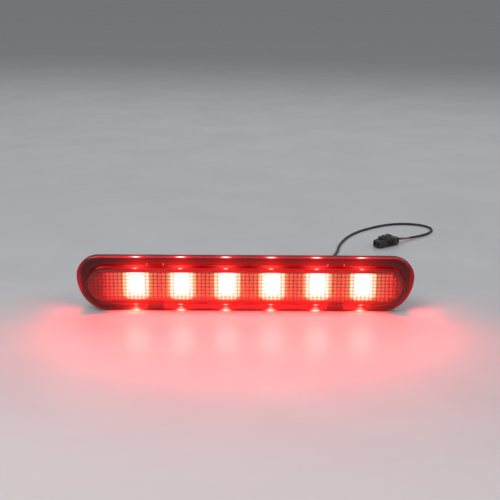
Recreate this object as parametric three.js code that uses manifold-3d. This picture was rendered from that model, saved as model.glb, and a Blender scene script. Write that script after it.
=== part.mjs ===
// Third brake light: six LEDs behind a long red lens, with a rear housing, studs and a cable.
// Millimetres. X runs along the lamp, -Y is the way that it shines, +Z is up.
// The origin is under the middle of the lamp, on the surface that its lower edge stands on.

import * as THREE from 'three';
import { mergeVertices } from 'three/addons/utils/BufferGeometryUtils.js';
import Module from 'manifold-3d';

const wasm = await Module();
wasm.setup();

// ---------------------------------------------------------------- driving dimensions

const GAP = 0.3; // between neighbours that touch on the real lamp

// Lens outline, seen from the front
const LENS_LENGTH = 300;
const LENS_HEIGHT = 50;
const WIDEST_Z = 32; // height at which the ends are widest
const TOP_STRAIGHT = 260; // straight stretch of the upper edge
const LOW_STRAIGHT = 246; // straight stretch of the lower edge

// Optic panel, raised from the lens border
const PANEL_LENGTH = 283.5;
const PANEL_HEIGHT = 34.2;
const PANEL_RADIUS = 16.5;
const PANEL_Z = 24.4;

// Depths, measured back from the front face of the optic panel
const PANEL_RISE = 6;
const SKIRT_DEPTH = 7;
const BOX_DEPTH = 17;
const BOSS_RISE = 1.5;
const STUD_REACH = 18; // past the boss
const LAMP_DEPTH = PANEL_RISE + SKIRT_DEPTH + BOX_DEPTH + BOSS_RISE + STUD_REACH;

const PANEL_FRONT = -LAMP_DEPTH / 2;
const BORDER_FRONT = PANEL_FRONT + PANEL_RISE;
const SKIRT_BACK = BORDER_FRONT + SKIRT_DEPTH;
const BOX_BACK = SKIRT_BACK + BOX_DEPTH;
const BOSS_BACK = BOX_BACK + BOSS_RISE;
const STUD_TIP = BOSS_BACK + STUD_REACH;

const LENS_WALL = 2.4;
const RIM_ROUND = 1.4;
const PANEL_ROUND = 1;

// Housing
const BOX_LENGTH = 270;
const BOX_HEIGHT = 34;
const BOX_RADIUS = 10;
const MID_Z = 25; // height of the box, the lights, the studs and the cable exit
const BOX_WALL = 2.3;
const FLANGE_FRONT = SKIRT_BACK - 2.95;
const FLANGE_BACK = SKIRT_BACK - 0.15;
const FLANGE_INSET = LENS_WALL + GAP;
const FLOOR_FRONT = BOX_BACK - BOX_WALL;
const CAVITY_LENGTH = BOX_LENGTH - 2 * BOX_WALL;
const CAVITY_HEIGHT = BOX_HEIGHT - 2 * BOX_WALL;
const LUG_X = 80;
const LUG_WIDTH = 14;

// Lights and board
const LED_PITCH = 40;
const LED_COUNT = 6;
const LED_MIDDLE = 2.6; // the row of lights sits a little to the right
const BOARD_FRONT = SKIRT_BACK + 3.15;
const BOARD_THICKNESS = 1.6;
const BOARD_BACK = BOARD_FRONT + BOARD_THICKNESS;
const BOARD_LENGTH = 262;
const BOARD_HEIGHT = 26;
const SCREW_X = [-120, -40, 40, 120].map((x) => x + LED_MIDDLE);

// Studs, washers and nuts (M5)
const STUD_X = 80;
const STUD_RADIUS = 2.2;
const NUT_BORE = 2.5;
const BOSS_RADIUS = 11;

// Cable and connector
const CABLE_X = 60;
const CABLE_RADIUS = 1.25;
const CORE_RADIUS = 0.7;
const CABLE_END = [180, 222.5]; // where the outer sheath stops, on the surface
const CORE_REACH = 22.5; // of the two cores, from the sheath to the connector
const CONNECTOR_TURN = THREE.MathUtils.degToRad(-140); // from +X to the way that it points
const CONNECTOR_LENGTH = 30;
const CONNECTOR_WIDTH = 13;
const CONNECTOR_HEIGHT = 9;

// ---------------------------------------------------------------- joins, cuts and basic shapes

function toSolid(geometry) {
  geometry.deleteAttribute('normal');
  geometry.deleteAttribute('uv');
  const merged = mergeVertices(geometry, 1e-4);
  return new wasm.Manifold(new wasm.Mesh({
    numProp: 3,
    vertProperties: new Float32Array(merged.attributes.position.array),
    triVerts: new Uint32Array(merged.index.array),
  }));
}

function toGeometry(solid) {
  const mesh = solid.getMesh();
  const geometry = new THREE.BufferGeometry();
  geometry.setAttribute('position', new THREE.BufferAttribute(mesh.vertProperties, 3));
  geometry.setIndex(new THREE.BufferAttribute(mesh.triVerts, 1));
  geometry.computeVertexNormals();
  return geometry;
}

function join(solids) {
  return solids.reduce((whole, piece) => whole.add(piece));
}

// A flat outline (x, z) made into a slab between two depths
function slab(outline, front, back, options = {}) {
  const geometry = new THREE.ExtrudeGeometry(outline, {
    depth: back - front,
    bevelEnabled: false,
    curveSegments: 5,
    ...options,
  });
  geometry.rotateX(Math.PI / 2);
  geometry.translate(0, back, 0);
  return toSolid(geometry);
}

// The same, with its front and back edges rounded
function softSlab(outline, front, back, round) {
  return slab(outline, front + round, back - round, {
    bevelEnabled: true,
    bevelThickness: round,
    bevelSize: round,
    bevelOffset: -round,
    bevelSegments: 2,
  });
}

function block(x, y, z, width, depth, height) {
  const geometry = new THREE.BoxGeometry(width, depth, height);
  geometry.translate(x, y, z);
  return toSolid(geometry);
}

// A round bar along Y, centred on (x, z), or a prism where sides is small
function bar(x, z, radius, front, back, sides = 20) {
  const geometry = new THREE.CylinderGeometry(radius, radius, back - front, sides);
  geometry.translate(x, (front + back) / 2, z);
  return toSolid(geometry);
}

// A turned shape about an axis along Y; the profile is [radius, y] and closes on itself or the axis
function turned(x, z, profile, segments = 20) {
  const points = profile.map(([radius, y]) => new THREE.Vector2(radius, y));
  const geometry = new THREE.LatheGeometry(points, segments);
  geometry.translate(x, 0, z);
  return toSolid(geometry);
}

function tube(points, radius, steps, sides = 8) {
  const section = new THREE.Shape();
  for (let side = 0; side < sides; side += 1) {
    const angle = (2 * Math.PI * side) / sides;
    const place = [radius * Math.cos(angle), radius * Math.sin(angle)];
    if (side === 0) section.moveTo(...place);
    else section.lineTo(...place);
  }
  section.closePath();
  const places = points.map((point) => new THREE.Vector3(...point));
  const route = new THREE.CatmullRomCurve3(places, false, 'centripetal');
  return new THREE.ExtrudeGeometry(section, { steps, extrudePath: route, bevelEnabled: false });
}

// ---------------------------------------------------------------- outlines

// The lens's outline, drawn in by inset all round: each end is two quarter ellipses
function lensOutline(inset) {
  const halfTop = TOP_STRAIGHT / 2;
  const halfLow = LOW_STRAIGHT / 2;
  const topWide = (LENS_LENGTH - TOP_STRAIGHT) / 2 - inset;
  const lowWide = (LENS_LENGTH - LOW_STRAIGHT) / 2 - inset;
  const topTall = LENS_HEIGHT - WIDEST_Z - inset;
  const lowTall = WIDEST_Z - inset;
  const quarter = Math.PI / 2;
  const shape = new THREE.Shape();
  shape.moveTo(-halfLow, inset);
  shape.lineTo(halfLow, inset);
  shape.absellipse(halfLow, WIDEST_Z, lowWide, lowTall, -quarter, 0, false);
  shape.absellipse(halfTop, WIDEST_Z, topWide, topTall, 0, quarter, false);
  shape.lineTo(-halfTop, LENS_HEIGHT - inset);
  shape.absellipse(-halfTop, WIDEST_Z, topWide, topTall, quarter, 2 * quarter, false);
  shape.absellipse(-halfLow, WIDEST_Z, lowWide, lowTall, 2 * quarter, 3 * quarter, false);
  return shape;
}

function roundedOutline(length, height, radius, middleZ) {
  const right = length / 2 - radius;
  const up = height / 2 - radius;
  const quarter = Math.PI / 2;
  const shape = new THREE.Shape();
  shape.absarc(right, middleZ + up, radius, 0, quarter, false);
  shape.absarc(-right, middleZ + up, radius, quarter, 2 * quarter, false);
  shape.absarc(-right, middleZ - up, radius, 2 * quarter, 3 * quarter, false);
  shape.absarc(right, middleZ - up, radius, 3 * quarter, 4 * quarter, false);
  return shape;
}

function panelOutline(inset) {
  const length = PANEL_LENGTH - 2 * inset;
  const height = PANEL_HEIGHT - 2 * inset;
  return roundedOutline(length, height, PANEL_RADIUS - inset, PANEL_Z);
}

// ---------------------------------------------------------------- materials

function finish(colour, roughness, metalness = 0) {
  return new THREE.MeshStandardMaterial({ color: colour, roughness, metalness });
}

const finishes = {
  redLens: finish(0xb00008, 0.08),
  blackPlastic: finish(0x17171a, 0.6),
  blackRubber: finish(0x101012, 0.85),
  foam: finish(0x1c1c1e, 0.95),
  silver: finish(0xd8d8dc, 0.12, 1),
  board: finish(0x1d5a32, 0.5),
  led: finish(0xfff2d8, 0.3),
  steel: finish(0xb9bcc0, 0.35, 1),
  partBody: finish(0x222222, 0.5),
  vent: finish(0xe4e4e0, 0.8),
  redCore: finish(0xa01414, 0.5),
  blackCore: finish(0x141414, 0.5),
  connector: finish(0x2a2522, 0.5),
  brass: finish(0xc9a560, 0.3, 1),
};

const lamp = new THREE.Group();

function add(name, geometry, material, parent = lamp) {
  const mesh = new THREE.Mesh(geometry, material);
  mesh.name = name;
  parent.add(mesh);
}

function addSolid(name, solid, material, parent = lamp) {
  add(name, toGeometry(solid), material, parent);
}

// ---------------------------------------------------------------- lens, seal and gasket

// A shell open at the back: border and skirt, with the optic panel raised from it
function makeLens() {
  const behind = 20;
  const outer = softSlab(lensOutline(0), BORDER_FRONT, SKIRT_BACK + behind, RIM_ROUND);
  const panel = softSlab(panelOutline(0), PANEL_FRONT, SKIRT_BACK, PANEL_ROUND);
  const borderHollow = slab(lensOutline(LENS_WALL), BORDER_FRONT + LENS_WALL, SKIRT_BACK + behind);
  const panelHollow = slab(panelOutline(LENS_WALL), PANEL_FRONT + LENS_WALL, SKIRT_BACK);
  const rear = block(0, SKIRT_BACK + behind, LENS_HEIGHT / 2, 2 * LENS_LENGTH, 2 * behind, 2 * LENS_HEIGHT);
  return join([outer, panel]).subtract(borderHollow).subtract(panelHollow).subtract(rear);
}

// Bead between the lens border and the housing flange, along the inside of the skirt
function makeSeal() {
  const width = 1.5;
  const front = BORDER_FRONT + LENS_WALL + GAP;
  const back = FLANGE_FRONT - GAP;
  const outer = slab(lensOutline(FLANGE_INSET), front, back);
  return outer.subtract(slab(lensOutline(FLANGE_INSET + width), front - 1, back + 1));
}

// Foam ring round the housing box, between the flange and the vehicle's panel
function makeGasket() {
  const front = FLANGE_BACK + GAP;
  const back = front + 3;
  const room = 2 * (GAP + 0.1);
  const hole = roundedOutline(BOX_LENGTH + room, BOX_HEIGHT + room, BOX_RADIUS + room / 2, MID_Z);
  return slab(lensOutline(3.5), front, back).subtract(slab(hole, front - 1, back + 1));
}

addSolid('lens', makeLens(), finishes.redLens);
addSolid('lens_seal', makeSeal(), finishes.blackRubber);
addSolid('mounting_gasket', makeGasket(), finishes.foam);

// ---------------------------------------------------------------- housing

const GROMMET_HOLE = 5.3;
const VENT_X = -30;
const VENT_HOLE = 1.6;
const POST_RADIUS = 3.2;
const POST_HOLE = 1.3;
const SOCKET_OUTER = 7.7;
const SOCKET_INNER = 6.2;

// Snap lugs on the flange, above and below the optic panel
function makeLugs() {
  const front = BORDER_FRONT + LENS_WALL + GAP;
  const middle = (front + FLANGE_FRONT + 0.5) / 2;
  const depth = FLANGE_FRONT + 0.5 - front;
  const tall = 4.6;
  const low = 4.6 + tall / 2;
  const lugs = [];
  for (const x of [-LUG_X, LUG_X]) {
    for (const z of [low, LENS_HEIGHT - low]) {
      lugs.push(block(x, middle, z, LUG_WIDTH, depth, tall));
    }
  }
  return lugs;
}

function makeHousing() {
  const flange = slab(lensOutline(FLANGE_INSET), FLANGE_FRONT, FLANGE_BACK);
  const boxOutline = roundedOutline(BOX_LENGTH, BOX_HEIGHT, BOX_RADIUS, MID_Z);
  const box = softSlab(boxOutline, FLANGE_FRONT + 0.9, BOX_BACK, 1);
  const cavityRadius = BOX_RADIUS - BOX_WALL;
  const cavity = slab(
    roundedOutline(CAVITY_LENGTH, CAVITY_HEIGHT, cavityRadius, MID_Z),
    FLANGE_FRONT - 5,
    FLOOR_FRONT,
  );
  const inside = [];
  const outside = [];
  const holes = [
    bar(CABLE_X, MID_Z, GROMMET_HOLE, FLOOR_FRONT - 1, BOX_BACK + 1),
    bar(VENT_X, MID_Z, VENT_HOLE, FLOOR_FRONT - 1, BOX_BACK + 1),
  ];
  for (const x of [-STUD_X, STUD_X]) {
    outside.push(bar(x, MID_Z, BOSS_RADIUS, BOX_BACK - 1, BOSS_BACK, 32));
    inside.push(bar(x, MID_Z, SOCKET_OUTER, FLOOR_FRONT - 3.2, FLOOR_FRONT + 0.5));
    holes.push(bar(x, MID_Z, SOCKET_INNER, FLOOR_FRONT - 4, FLOOR_FRONT));
    holes.push(bar(x, MID_Z, STUD_RADIUS + GAP, FLOOR_FRONT - 1, BOSS_BACK + 1));
  }
  for (const x of SCREW_X) {
    inside.push(bar(x, MID_Z, POST_RADIUS, BOARD_BACK + GAP, FLOOR_FRONT + 0.5, 16));
    holes.push(bar(x, MID_Z, POST_HOLE, BOARD_BACK, FLOOR_FRONT - 1, 12));
  }
  const shell = join([flange, box, ...makeLugs()]).subtract(cavity);
  return join([shell, ...outside, ...inside]).subtract(join(holes));
}

addSolid('housing', makeHousing(), finishes.blackPlastic);

// Breather disc over the vent hole
addSolid('vent_patch', bar(VENT_X, MID_Z, 5, BOX_BACK + GAP, BOX_BACK + GAP + 0.4), finishes.vent);

// ---------------------------------------------------------------- lights and board

const ledPlaces = [];
for (let index = 0; index < LED_COUNT; index += 1) {
  ledPlaces.push(LED_MIDDLE + (index - (LED_COUNT - 1) / 2) * LED_PITCH);
}

// A square funnel that widens towards the lens
function funnel(x, mouth, base, front, back) {
  const diagonal = Math.SQRT1_2;
  const geometry = new THREE.CylinderGeometry(base * diagonal, mouth * diagonal, back - front, 4);
  geometry.rotateY(Math.PI / 4);
  geometry.translate(x, (front + back) / 2, MID_Z);
  return toSolid(geometry);
}

// Metallised tray: a plate behind the optic panel, with a square funnel round each light
function makeTray() {
  const front = BORDER_FRONT + LENS_WALL + 0.4;
  const plateBack = front + 1.2;
  const back = BOARD_FRONT - GAP;
  const room = 0.8;
  const plate = slab(
    roundedOutline(CAVITY_LENGTH - room, CAVITY_HEIGHT - room, BOX_RADIUS - BOX_WALL, MID_Z),
    front,
    plateBack,
  );
  const funnels = ledPlaces.map((x) => funnel(x, 27.5, 13, front + 0.4, back));
  const windows = ledPlaces.map((x) => funnel(x, 26, 11, front - 0.1, back + 0.1));
  return join([plate, ...funnels]).subtract(join(windows));
}

function makeBoard() {
  const board = slab(roundedOutline(BOARD_LENGTH, BOARD_HEIGHT, 3, MID_Z), BOARD_FRONT, BOARD_BACK);
  return board.subtract(join(SCREW_X.map((x) => bar(x, MID_Z, 1.4, BOARD_FRONT - 1, BOARD_BACK + 1, 12))));
}

// A square package with a clear dome
function makeLed(x) {
  const back = BOARD_FRONT - GAP;
  const base = block(x, back - 0.6, MID_Z, 5, 1.2, 5);
  const dome = turned(x, MID_Z, [
    [0, back - 3],
    [1.2, back - 2.7],
    [2, back - 1.9],
    [2.2, back - 0.6],
    [0, back - 0.6],
  ]);
  return base.add(dome);
}

function makeBoardScrew(x) {
  const seat = BOARD_FRONT - GAP;
  const head = [[0, seat - 1.7], [1.6, seat - 1.7], [2.7, seat - 0.9], [2.7, seat], [1, seat]];
  return turned(x, MID_Z, [...head, [1, BOARD_BACK + 5], [0, BOARD_BACK + 6]], 16);
}

// A small surface-mounted part on the back of the board
function makeBoardPart(x, length, width, thickness) {
  return block(x, BOARD_BACK + GAP + thickness / 2, MID_Z, length, thickness, width);
}

// One core from the back of the board to the grommet's inner end
function makeInnerLead(side) {
  const boardEnd = BOARD_BACK + GAP;
  const grommetEnd = FLOOR_FRONT - 1.3 - GAP;
  const middle = (boardEnd + grommetEnd) / 2;
  return tube([
    [CABLE_X - 9, boardEnd, MID_Z + side * 4],
    [CABLE_X - 9, boardEnd + 1.5, MID_Z + side * 4],
    [CABLE_X - 6, middle, MID_Z + side * 3],
    [CABLE_X - 1.5, middle + 1.2, MID_Z + side * 1.6],
    [CABLE_X, grommetEnd - 1.5, MID_Z + side],
    [CABLE_X, grommetEnd, MID_Z + side],
  ], CORE_RADIUS, 12);
}

addSolid('reflector_tray', makeTray(), finishes.silver);
addSolid('circuit_board', makeBoard(), finishes.board);
ledPlaces.forEach((x, index) => addSolid(`led_${index + 1}`, makeLed(x), finishes.led));
SCREW_X.forEach((x, index) => addSolid(`board_screw_${index + 1}`, makeBoardScrew(x), finishes.steel));
addSolid('resistor_1', makeBoardPart(-20, 6.3, 3.2, 0.8), finishes.partBody);
addSolid('resistor_2', makeBoardPart(0, 6.3, 3.2, 0.8), finishes.partBody);
addSolid('diode', makeBoardPart(20, 5.2, 2.8, 2.2), finishes.partBody);
add('inner_lead_positive', makeInnerLead(1), finishes.redCore);
add('inner_lead_negative', makeInnerLead(-1), finishes.blackCore);

// ---------------------------------------------------------------- studs, washers and nuts

const WASHER_FRONT = BOSS_BACK + GAP;
const WASHER_THICKNESS = 1.2;
const WASHER_RADIUS = 8;
const NUT_FRONT = WASHER_FRONT + WASHER_THICKNESS + GAP;
const NUT_HEIGHT = 5;
const NUT_FLANGE_RADIUS = 5.9;
const NUT_ACROSS_FLATS = 8;

// Round head in the housing's socket, and a shank through the floor
function makeStud(x) {
  const headFront = FLOOR_FRONT - GAP - 2.4;
  const headBack = FLOOR_FRONT - GAP;
  const headRadius = SOCKET_INNER - GAP;
  const point = 1;
  return turned(x, MID_Z, [
    [0, headFront],
    [headRadius, headFront],
    [headRadius, headBack],
    [STUD_RADIUS, headBack],
    [STUD_RADIUS, STUD_TIP - point],
    [STUD_RADIUS - point, STUD_TIP],
    [0, STUD_TIP],
  ]);
}

function makeWasher(x) {
  const back = WASHER_FRONT + WASHER_THICKNESS;
  const hole = NUT_BORE + 0.4;
  return turned(x, MID_Z, [
    [hole, WASHER_FRONT],
    [WASHER_RADIUS, WASHER_FRONT],
    [WASHER_RADIUS, back],
    [hole, back],
    [hole, WASHER_FRONT],
  ], 32);
}

function makeNut(x) {
  const back = NUT_FRONT + NUT_HEIGHT;
  const flangeEdge = NUT_FRONT + 0.8;
  const flangeTop = NUT_FRONT + 1.8;
  const hexRadius = NUT_ACROSS_FLATS / Math.sqrt(3);
  const flange = turned(x, MID_Z, [
    [0, NUT_FRONT],
    [NUT_FLANGE_RADIUS, NUT_FRONT],
    [NUT_FLANGE_RADIUS, flangeEdge],
    [hexRadius - 0.4, flangeTop],
    [0, flangeTop],
  ], 24);
  const hexagon = bar(x, MID_Z, hexRadius, NUT_FRONT + 0.4, back, 6);
  return flange.add(hexagon).subtract(bar(x, MID_Z, NUT_BORE, NUT_FRONT - 1, back + 1));
}

for (const [side, x] of [['left', -STUD_X], ['right', STUD_X]]) {
  addSolid(`stud_${side}`, makeStud(x), finishes.steel);
  addSolid(`washer_${side}`, makeWasher(x), finishes.steel);
  addSolid(`nut_${side}`, makeNut(x), finishes.steel);
}

// ---------------------------------------------------------------- grommet and cable

const GROMMET_TIP = BOX_BACK + 16;
const CABLE_START = GROMMET_TIP - 4;

// Rubber grommet gripping the edge of the hole, with a tapered strain relief round the cable
function makeGrommet() {
  const neck = GROMMET_HOLE - GAP;
  const insideFace = FLOOR_FRONT - GAP;
  const outsideFace = BOX_BACK + GAP;
  const solid = turned(CABLE_X, MID_Z, [
    [0, insideFace - 1],
    [6.2, insideFace - 1],
    [6.5, insideFace],
    [neck, insideFace],
    [neck, outsideFace],
    [7.4, outsideFace],
    [7.4, outsideFace + 1.2],
    [5, outsideFace + 2.4],
    [2.6, GROMMET_TIP],
    [0, GROMMET_TIP],
  ], 24);
  return solid.subtract(bar(CABLE_X, MID_Z, CABLE_RADIUS + GAP, CABLE_START - GAP, GROMMET_TIP + 1, 12));
}

// The cable's middle line: out of the grommet, down to the surface, and round in a loose loop
const LYING = CABLE_RADIUS + 0.05;
const cableRoute = [
  [CABLE_X, CABLE_START, MID_Z],
  [CABLE_X, 26, MID_Z - 0.1],
  [CABLE_X, 34, 23.8],
  [60.5, 43, 20.2],
  [61.5, 52, 14.6],
  [63, 61, 8.6],
  [65, 70, 4],
  [67.5, 80, 1.8],
  [71, 93, LYING],
  [77, 113, LYING],
  [84, 133, LYING],
  [91, 152, LYING],
  [96.5, 172, LYING],
  [99.5, 190, LYING],
  [105, 210, LYING],
  [113.5, 231, LYING],
  [125, 250, LYING],
  [138, 264.5, LYING],
  [152, 276.5, LYING],
  [166, 284.5, LYING],
  [181, 287.5, LYING],
  [195, 285, LYING],
  [206, 277, LYING],
  [210.5, 264.5, LYING],
  [206, 249.5, LYING],
  [195, 235.5, LYING + 0.4],
  [...CABLE_END, LYING + 1.1],
];

addSolid('cable_grommet', makeGrommet(), finishes.blackRubber);
add('cable', tube(cableRoute, CABLE_RADIUS, 72), finishes.blackRubber);

// ---------------------------------------------------------------- connector, at rest on the surface

// In its own frame the connector points along +X, and its wires come in at x = 0
const connector = new THREE.Group();
connector.position.set(
  CABLE_END[0] + (CORE_REACH + GAP) * Math.cos(CONNECTOR_TURN),
  CABLE_END[1] + (CORE_REACH + GAP) * Math.sin(CONNECTOR_TURN),
  0,
);
connector.rotation.z = CONNECTOR_TURN;
lamp.add(connector);

const PIN_PITCH = 5;
const PIN_ROOM = 1.6;
const LATCH_PIVOT_X = 23;
const LATCH_PIVOT_Z = CONNECTOR_HEIGHT + 1.5;

// A shroud's outline in the connector's (y, z), swept along its X
function along(outline, start, end, round = 0) {
  const geometry = new THREE.ExtrudeGeometry(outline, {
    depth: end - start - 2 * round,
    bevelEnabled: round > 0,
    bevelThickness: round,
    bevelSize: round,
    bevelOffset: -round,
    bevelSegments: 2,
    curveSegments: 4,
  });
  geometry.translate(0, 0, start + round);
  geometry.rotateX(Math.PI / 2);
  geometry.rotateZ(Math.PI / 2);
  return toSolid(geometry);
}

function roundBarAlong(start, end, radius, y, z, sides = 12) {
  const geometry = new THREE.CylinderGeometry(radius, radius, end - start, sides);
  geometry.rotateZ(Math.PI / 2);
  geometry.translate((start + end) / 2, y, z);
  return toSolid(geometry);
}

const PIN_Z = CONNECTOR_HEIGHT / 2;
const pinSides = { 1: -PIN_PITCH / 2, 2: PIN_PITCH / 2 };

// Body with a collar at the wire end, two finger ribs a side and a hole for each terminal
function makeConnectorBody() {
  const mainOutline = roundedOutline(CONNECTOR_WIDTH - 2, CONNECTOR_HEIGHT - 0.6, 1.2, PIN_Z);
  const collarOutline = roundedOutline(CONNECTOR_WIDTH, CONNECTOR_HEIGHT, 1.6, PIN_Z);
  const pieces = [along(mainOutline, 4, CONNECTOR_LENGTH, 0.4), along(collarOutline, 2.6, 9, 0.4)];
  for (const x of [12, 14.5]) {
    pieces.push(block(x, 0, PIN_Z, 1, CONNECTOR_WIDTH, 5));
  }
  const holes = Object.values(pinSides)
    .map((y) => roundBarAlong(0, CONNECTOR_LENGTH + 1, PIN_ROOM, y, PIN_Z));
  return join(pieces).subtract(join(holes));
}

function makeTerminal(y) {
  const barrel = roundBarAlong(5, 27, 1.2, y, PIN_Z, 12);
  return barrel.subtract(roundBarAlong(20, 28, 0.6, y, PIN_Z, 8));
}

// Rubber plug that closes the wire end; the two cores stop against it
function makeWireSeal() {
  const outline = roundedOutline(CONNECTOR_WIDTH - 2, CONNECTOR_HEIGHT - 2, 1.5, PIN_Z);
  return along(outline, 0, 2.3, 0.4);
}

// Spring arm over the body: root block in front, thumb pad at the wire end
function makeLatch() {
  const rootLow = CONNECTOR_HEIGHT - 0.3 + GAP;
  const root = block(LATCH_PIVOT_X, 0, rootLow + 1.3, 3.6, 6, 2.6);
  const arm = block(LATCH_PIVOT_X - 6, 0, rootLow + 2.1, 13, 5, 1);
  const pad = block(LATCH_PIVOT_X - 11.5, 0, rootLow + 2.4, 3, 7, 1.6);
  const tooth = block(LATCH_PIVOT_X - 4, 0, rootLow + 2.9, 2, 4, 1.4);
  return join([root, arm, pad, tooth]);
}

// A core from the cable's end to the wire seal, in the connector's own frame
function makeCore(side) {
  const y = side * (PIN_PITCH / 2);
  return tube([
    [-CORE_REACH, side * 0.9, LYING + 1.1],
    [-19, side * 0.95, LYING + 1.3],
    [-14, side * 1.5, 3.2],
    [-9, side * 2.1, 3.9],
    [-4, y, PIN_Z - 0.1],
    [-GAP, y, PIN_Z],
  ], CORE_RADIUS, 12);
}

addSolid('connector_housing', makeConnectorBody(), finishes.connector, connector);
addSolid('connector_latch', makeLatch(), finishes.connector, connector);
addSolid('wire_seal', makeWireSeal(), finishes.blackRubber, connector);
addSolid('terminal_1', makeTerminal(pinSides[1]), finishes.brass, connector);
addSolid('terminal_2', makeTerminal(pinSides[2]), finishes.brass, connector);
add('wire_red', makeCore(1), finishes.redCore, connector);
add('wire_black', makeCore(-1), finishes.blackCore, connector);

export default lamp;
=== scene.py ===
import math

import bmesh
import bpy
from mathutils import Matrix, Vector


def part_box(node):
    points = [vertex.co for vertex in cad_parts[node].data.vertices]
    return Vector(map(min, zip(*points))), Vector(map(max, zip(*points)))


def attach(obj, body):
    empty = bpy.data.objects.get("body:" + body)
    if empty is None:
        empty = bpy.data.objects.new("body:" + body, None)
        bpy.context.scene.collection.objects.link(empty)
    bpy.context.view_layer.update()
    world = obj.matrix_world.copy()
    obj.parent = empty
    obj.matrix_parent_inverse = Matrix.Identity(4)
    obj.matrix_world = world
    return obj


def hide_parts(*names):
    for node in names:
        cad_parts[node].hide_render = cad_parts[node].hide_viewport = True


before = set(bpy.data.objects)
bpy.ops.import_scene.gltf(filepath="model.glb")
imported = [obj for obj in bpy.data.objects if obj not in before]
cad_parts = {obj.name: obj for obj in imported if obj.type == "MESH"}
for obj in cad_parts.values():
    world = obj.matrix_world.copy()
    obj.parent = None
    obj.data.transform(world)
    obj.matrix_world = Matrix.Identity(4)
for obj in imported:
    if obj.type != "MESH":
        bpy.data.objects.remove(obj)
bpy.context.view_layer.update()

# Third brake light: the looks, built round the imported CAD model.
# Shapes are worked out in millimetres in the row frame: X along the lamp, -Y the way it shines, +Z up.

scene = bpy.context.scene
MM = 0.001


def box_mm(node_name):
    """A CAD node's lowest and highest corners, in millimetres."""
    low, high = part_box(node_name)
    return Vector(low) / MM, Vector(high) / MM


def add_object(name, data):
    made = bpy.data.objects.new(name, data)
    scene.collection.objects.link(made)
    return made


# -------- driving dimensions

LENS_LOW, LENS_HIGH = box_mm("lens")
BOX_HIGH = box_mm("housing")[1]
GASKET_LOW, GASKET_HIGH = box_mm("mounting_gasket")
STUD_LOW, STUD_HIGH = box_mm("stud_right")
WASHER_LOW, WASHER_HIGH = box_mm("washer_right")
NUT_LOW, NUT_HIGH = box_mm("nut_right")
GROMMET_LOW, GROMMET_HIGH = box_mm("cable_grommet")
VENT_LOW, VENT_HIGH = box_mm("vent_patch")

LENS_LENGTH = LENS_HIGH.x - LENS_LOW.x
LENS_HEIGHT = LENS_HIGH.z
LENS_WALL = 2.4
PANEL_FRONT = LENS_LOW.y
SKIRT_BACK = LENS_HIGH.y
SKIRT_DEPTH = 7
BORDER_FRONT = SKIRT_BACK - SKIRT_DEPTH
WIDEST_Z = 32
TOP_STRAIGHT = 260
LOW_STRAIGHT = 246
RIM_ROUND = 1.5
BAND_WIDTH = 4.7  # of the part of the border that lies beside the rounded rim

PANEL_LENGTH = 283.5
PANEL_HEIGHT = 34.2
PANEL_RADIUS = 16.5
PANEL_Z = 24.4

OPTIC_WIDE = 3.53
OPTIC_TALL = 3.15
OPTIC_COLUMNS = 78
OPTIC_ROWS = 8
OPTIC_CROWN = 0.55
GRID_Z = 23.65
GRID_INSET = 2.7

LED_COUNT = 6
FIRST_LED_X = sum(corner.x for corner in box_mm("led_1")) / 2
LAST_LED_X = sum(corner.x for corner in box_mm(f"led_{LED_COUNT}")) / 2
LED_PITCH = (LAST_LED_X - FIRST_LED_X) / (LED_COUNT - 1)
LED_MIDDLE = (FIRST_LED_X + LAST_LED_X) / 2
OUTER_LED = LAST_LED_X - LED_MIDDLE

BOX_LENGTH = 270
BOX_HEIGHT = 34
BOX_RADIUS = 10
BOX_WALL = 2.3
BOX_ROUND = 1.6
MID_Z = 25
FLANGE_THICK = 2.8
FLANGE_BACK = SKIRT_BACK - 0.15
FLANGE_FRONT = FLANGE_BACK - FLANGE_THICK
FLANGE_INSET = LENS_WALL + 0.3
BOSS_RISE = 1.5
BOX_BACK = BOX_HIGH.y - BOSS_RISE
LUG_X = 80
LUG_WIDTH = 14
LUG_NEAR = LUG_WIDTH / 2 + 0.9  # a lug's half width at its end beside the panel
LUG_FAR = LUG_WIDTH / 2 - 0.5
LUG_TALL = 4.6
LUG_Z = 6.9
STUD_X = (STUD_LOW.x + STUD_HIGH.x) / 2
CABLE_X = (GROMMET_LOW.x + GROMMET_HIGH.x) / 2
VENT_X = (VENT_LOW.x + VENT_HIGH.x) / 2

CABLE_RADIUS = 1.25
CORE_RADIUS = 0.7

# -------- camera

ELEVATION = 16
YAW = 0
ROLL = 0.3
DISTANCE = 1000
FOCAL_LENGTH = 79.6
AIM_RIGHT = 3.9  # where the camera points, measured from the middle of the lamp
AIM_UP = 25.2


def rotation(degrees, axis, size=3):
    return Matrix.Rotation(math.radians(degrees), size, axis)


def make_camera():
    data = bpy.data.cameras.new("camera")
    data.lens = FOCAL_LENGTH
    data.sensor_width = 36
    camera = add_object("camera", data)
    turn = rotation(YAW, "Z") @ rotation(90 - ELEVATION, "X")
    middle = Vector((0, 0, LENS_HEIGHT / 2))
    place = middle + turn @ Vector((AIM_RIGHT, AIM_UP, DISTANCE))
    camera.matrix_world = Matrix.Translation(place * MM) @ turn.to_4x4() @ rotation(ROLL, "Z", 4)
    scene.camera = camera


make_camera()

# -------- material helpers

DARK = (0, 0, 0)
LOOKS = {}


def feed(value, socket):
    """Sets an input to a number or colour, or links it to the output that works it out."""
    if isinstance(value, bpy.types.NodeSocket):
        socket.id_data.links.new(value, socket)
    else:
        socket.default_value = value


def node(host, kind, inputs=None, **settings):
    """A new node in the tree of the host, which is a node or a socket."""
    made = host.id_data.nodes.new("ShaderNode" + kind)
    for name, value in settings.items():
        setattr(made, name, value)
    for name, value in (inputs or {}).items():
        feed(value, made.inputs[name])
    return made


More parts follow.
